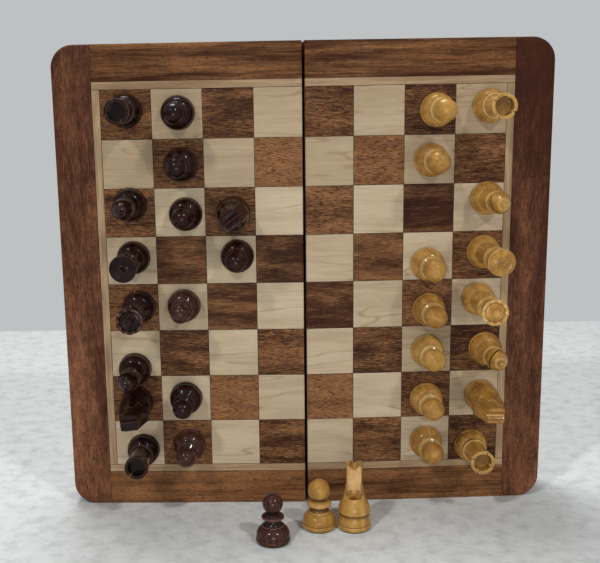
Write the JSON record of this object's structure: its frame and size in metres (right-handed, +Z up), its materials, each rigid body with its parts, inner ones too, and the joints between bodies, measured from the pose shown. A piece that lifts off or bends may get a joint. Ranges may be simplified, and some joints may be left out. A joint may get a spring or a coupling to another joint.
{
  "type": "folding chess box",
  "caption": "Folding wooden chess box opened out as a board and stood on edge, with inlaid squares, magnetic turned chessmen and lined storage pockets inside.",
  "frame": {"origin": "on the table, at the middle of the footprint of the opened box and its chessmen", "axes": "+X to the right along the board, +Y away from the player, from the playing surface towards the storage side, +Z up"},
  "size_m": [0.253, 0.0818, 0.244],
  "materials": {
    "stile_wood": "satin lacquered dark reddish brown hardwood, grain upright",
    "rail_wood": "satin lacquered brown hardwood, grain along the rail",
    "panel_plywood": "plain thin plywood",
    "sheet_steel": "thin tinned steel sheet, glued in",
    "pale_square_wood": "satin lacquered maple",
    "brown_square_wood": "satin lacquered brown hardwood, open pores",
    "inlay_wood": "satin lacquered maple strip",
    "velvet_foam": "green velvet over foam",
    "magnet_nickel": "nickel-plated disc magnet",
    "hinge_brass": "plain brass",
    "dark_chessman_wood": "gloss lacquered, stained nearly black brown",
    "light_chessman_wood": "gloss lacquered golden boxwood"
  },
  "bodies": {
    "left_half": {"left_outer_stile": "stile_wood", "left_top_rail": "rail_wood", "left_bottom_rail": "rail_wood", "left_spine_rail": "rail_wood", "left_base_panel": "panel_plywood", "left_steel_sheet": "sheet_steel", "left_light_squares": "pale_square_wood", "left_dark_squares": "brown_square_wood", "left_inlay_strips": "inlay_wood", "left_storage_insert": "velvet_foam", "left_closure_magnets": "magnet_nickel", "left_hinge_leaves": "hinge_brass", "left_hinge_screws": "hinge_brass", "hinge_pins": "hinge_brass"},
    "right_half": {"right_outer_stile": "stile_wood", "right_top_rail": "rail_wood", "right_bottom_rail": "rail_wood", "right_spine_rail": "rail_wood", "right_base_panel": "panel_plywood", "right_steel_sheet": "sheet_steel", "right_light_squares": "pale_square_wood", "right_dark_squares": "brown_square_wood", "right_inlay_strips": "inlay_wood", "right_storage_insert": "velvet_foam", "right_closure_magnets": "magnet_nickel", "right_hinge_leaves": "hinge_brass", "right_hinge_screws": "hinge_brass"},
    "dark_rook_1": {"dark_rook_1": "dark_chessman_wood"},
    "dark_pawn_1": {"dark_pawn_1": "dark_chessman_wood"},
    "dark_pawn_2": {"dark_pawn_2": "dark_chessman_wood"},
    "dark_bishop_1": {"dark_bishop_1": "dark_chessman_wood"},
    "dark_pawn_3": {"dark_pawn_3": "dark_chessman_wood"},
    "dark_knight_1": {"dark_knight_1": "dark_chessman_wood"},
    "dark_king": {"dark_king": "dark_chessman_wood"},
    "dark_pawn_4": {"dark_pawn_4": "dark_chessman_wood"},
    "dark_queen": {"dark_queen": "dark_chessman_wood"},
    "dark_pawn_5": {"dark_pawn_5": "dark_chessman_wood"},
    "dark_bishop_2": {"dark_bishop_2": "dark_chessman_wood"},
    "dark_knight_2": {"dark_knight_2": "dark_chessman_wood"},
    "dark_pawn_6": {"dark_pawn_6": "dark_chessman_wood"},
    "dark_rook_2": {"dark_rook_2": "dark_chessman_wood"},
    "dark_pawn_7": {"dark_pawn_7": "dark_chessman_wood"},
    "light_pawn_1": {"light_pawn_1": "light_chessman_wood"},
    "light_rook_1": {"light_rook_1": "light_chessman_wood"},
    "light_pawn_2": {"light_pawn_2": "light_chessman_wood"},
    "light_bishop_1": {"light_bishop_1": "light_chessman_wood"},
    "light_king": {"light_king": "light_chessman_wood"},
    "light_pawn_3": {"light_pawn_3": "light_chessman_wood"},
    "light_queen": {"light_queen": "light_chessman_wood"},
    "light_pawn_4": {"light_pawn_4": "light_chessman_wood"},
    "light_bishop_2": {"light_bishop_2": "light_chessman_wood"},
    "light_pawn_5": {"light_pawn_5": "light_chessman_wood"},
    "light_knight_1": {"light_knight_1": "light_chessman_wood"},
    "light_pawn_6": {"light_pawn_6": "light_chessman_wood"},
    "light_rook_2": {"light_rook_2": "light_chessman_wood"},
    "light_pawn_7": {"light_pawn_7": "light_chessman_wood"},
    "dark_pawn_8": {"dark_pawn_8": "dark_chessman_wood"},
    "light_pawn_8": {"light_pawn_8": "light_chessman_wood"},
    "light_knight_2": {"light_knight_2": "light_chessman_wood"}
  },
  "joints": [
    {"name": "lid_hinge", "type": "hinge", "parent": "left_half", "child": "right_half", "pos_m": [0, 0.03775, 0.122], "axis": [0, 0, 1], "range_deg": [-3, 177]},
    {"name": "dark_rook_1_lift", "type": "slide", "parent": "left_half", "child": "dark_rook_1", "axis": [-0.0262, -0.9997, 0], "range_m": [0, 0.06]},
    {"name": "dark_pawn_1_lift", "type": "slide", "parent": "left_half", "child": "dark_pawn_1", "axis": [-0.0262, -0.9997, 0], "range_m": [0, 0.06]},
    {"name": "dark_pawn_2_lift", "type": "slide", "parent": "left_half", "child": "dark_pawn_2", "axis": [-0.0262, -0.9997, 0], "range_m": [0, 0.06]},
    {"name": "dark_bishop_1_lift", "type": "slide", "parent": "left_half", "child": "dark_bishop_1", "axis": [-0.0262, -0.9997, 0], "range_m": [0, 0.06]},
    {"name": "dark_pawn_3_lift", "type": "slide", "parent": "left_half", "child": "dark_pawn_3", "axis": [-0.0262, -0.9997, 0], "range_m": [0, 0.06]},
    {"name": "dark_knight_1_lift", "type": "slide", "parent": "left_half", "child": "dark_knight_1", "axis": [-0.0262, -0.9997, 0], "range_m": [0, 0.06]},
    {"name": "dark_king_lift", "type": "slide", "parent": "left_half", "child": "dark_king", "axis": [-0.0262, -0.9997, 0], "range_m": [0, 0.06]},
    {"name": "dark_pawn_4_lift", "type": "slide", "parent": "left_half", "child": "dark_pawn_4", "axis": [-0.0262, -0.9997, 0], "range_m": [0, 0.06]},
    {"name": "dark_queen_lift", "type": "slide", "parent": "left_half", "child": "dark_queen", "axis": [-0.0262, -0.9997, 0], "range_m": [0, 0.06]},
    {"name": "dark_pawn_5_lift", "type": "slide", "parent": "left_half", "child": "dark_pawn_5", "axis": [-0.0262, -0.9997, 0], "range_m": [0, 0.06]},
    {"name": "dark_bishop_2_lift", "type": "slide", "parent": "left_half", "child": "dark_bishop_2", "axis": [-0.0262, -0.9997, 0], "range_m": [0, 0.06]},
    {"name": "dark_knight_2_lift", "type": "slide", "parent": "left_half", "child": "dark_knight_2", "axis": [-0.0262, -0.9997, 0], "range_m": [0, 0.06]},
    {"name": "dark_pawn_6_lift", "type": "slide", "parent": "left_half", "child": "dark_pawn_6", "axis": [-0.0262, -0.9997, 0], "range_m": [0, 0.06]},
    {"name": "dark_rook_2_lift", "type": "slide", "parent": "left_half", "child": "dark_rook_2", "axis": [-0.0262, -0.9997, 0], "range_m": [0, 0.06]},
    {"name": "dark_pawn_7_lift", "type": "slide", "parent": "left_half", "child": "dark_pawn_7", "axis": [-0.0262, -0.9997, 0], "range_m": [0, 0.06]},
    {"name": "light_pawn_1_lift", "type": "slide", "parent": "right_half", "child": "light_pawn_1", "axis": [0.0262, -0.9997, 0], "range_m": [0, 0.06]},
    {"name": "light_rook_1_lift", "type": "slide", "parent": "right_half", "child": "light_rook_1", "axis": [0.0262, -0.9997, 0], "range_m": [0, 0.06]},
    {"name": "light_pawn_2_lift", "type": "slide", "parent": "right_half", "child": "light_pawn_2", "axis": [0.0262, -0.9997, 0], "range_m": [0, 0.06]},
    {"name": "light_bishop_1_lift", "type": "slide", "parent": "right_half", "child": "light_bishop_1", "axis": [0.0262, -0.9997, 0], "range_m": [0, 0.06]},
    {"name": "light_king_lift", "type": "slide", "parent": "right_half", "child": "light_king", "axis": [0.0262, -0.9997, 0], "range_m": [0, 0.06]},
    {"name": "light_pawn_3_lift", "type": "slide", "parent": "right_half", "child": "light_pawn_3", "axis": [0.0262, -0.9997, 0], "range_m": [0, 0.06]},
    {"name": "light_queen_lift", "type": "slide", "parent": "right_half", "child": "light_queen", "axis": [0.0262, -0.9997, 0], "range_m": [0, 0.06]},
    {"name": "light_pawn_4_lift", "type": "slide", "parent": "right_half", "child": "light_pawn_4", "axis": [0.0262, -0.9997, 0], "range_m": [0, 0.06]},
    {"name": "light_bishop_2_lift", "type": "slide", "parent": "right_half", "child": "light_bishop_2", "axis": [0.0262, -0.9997, 0], "range_m": [0, 0.06]},
    {"name": "light_pawn_5_lift", "type": "slide", "parent": "right_half", "child": "light_pawn_5", "axis": [0.0262, -0.9997, 0], "range_m": [0, 0.06]},
    {"name": "light_knight_1_lift", "type": "slide", "parent": "right_half", "child": "light_knight_1", "axis": [0.0262, -0.9997, 0], "range_m": [0, 0.06]},
    {"name": "light_pawn_6_lift", "type": "slide", "parent": "right_half", "child": "light_pawn_6", "axis": [0.0262, -0.9997, 0], "range_m": [0, 0.06]},
    {"name": "light_rook_2_lift", "type": "slide", "parent": "right_half", "child": "light_rook_2", "axis": [0.0262, -0.9997, 0], "range_m": [0, 0.06]},
    {"name": "light_pawn_7_lift", "type": "slide", "parent": "right_half", "child": "light_pawn_7", "axis": [0.0262, -0.9997, 0], "range_m": [0, 0.06]},
    {"name": "dark_pawn_8_lift", "type": "slide", "parent": "left_half", "child": "dark_pawn_8", "axis": [0, 0, 1], "range_m": [0, 0.06]},
    {"name": "light_pawn_8_lift", "type": "slide", "parent": "left_half", "child": "light_pawn_8", "axis": [0, 0, 1], "range_m": [0, 0.06]},
    {"name": "light_knight_2_lift", "type": "slide", "parent": "left_half", "child": "light_knight_2", "axis": [0, 0, 1], "range_m": [0, 0.06]}
  ]
}
